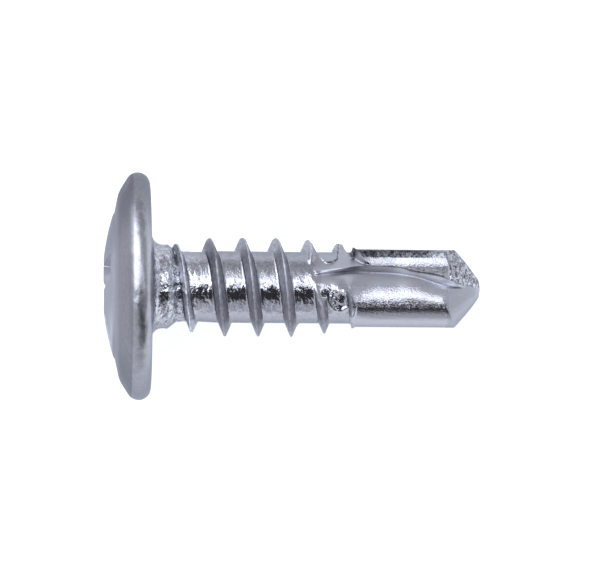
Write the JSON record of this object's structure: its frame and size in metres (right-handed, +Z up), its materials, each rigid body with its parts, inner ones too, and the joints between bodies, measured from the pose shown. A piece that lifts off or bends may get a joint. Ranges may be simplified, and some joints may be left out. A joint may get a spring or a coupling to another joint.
{
  "type": "self drilling screw",
  "caption": "Self drilling screw with a low domed flange head, a cross recess, a coarse right-hand thread and a pinched drill point with opposite flutes.",
  "frame": {"origin": "below the middle of the bounding box, on the surface that the lying screw rests on", "axes": "+X runs along the screw from head to tip, seen from above; +Z is up; the screw lies on the rim of its head and on its drill point, so its axis dips towards the tip"},
  "size_m": [0.016, 0.0098, 0.0095],
  "materials": {
    "screw_steel": "bright zinc plate on steel, slightly bluish, glossy with a fine mottle and forming marks"
  },
  "bodies": {
    "root": {"screw": "screw_steel"}
  },
  "joints": []
}
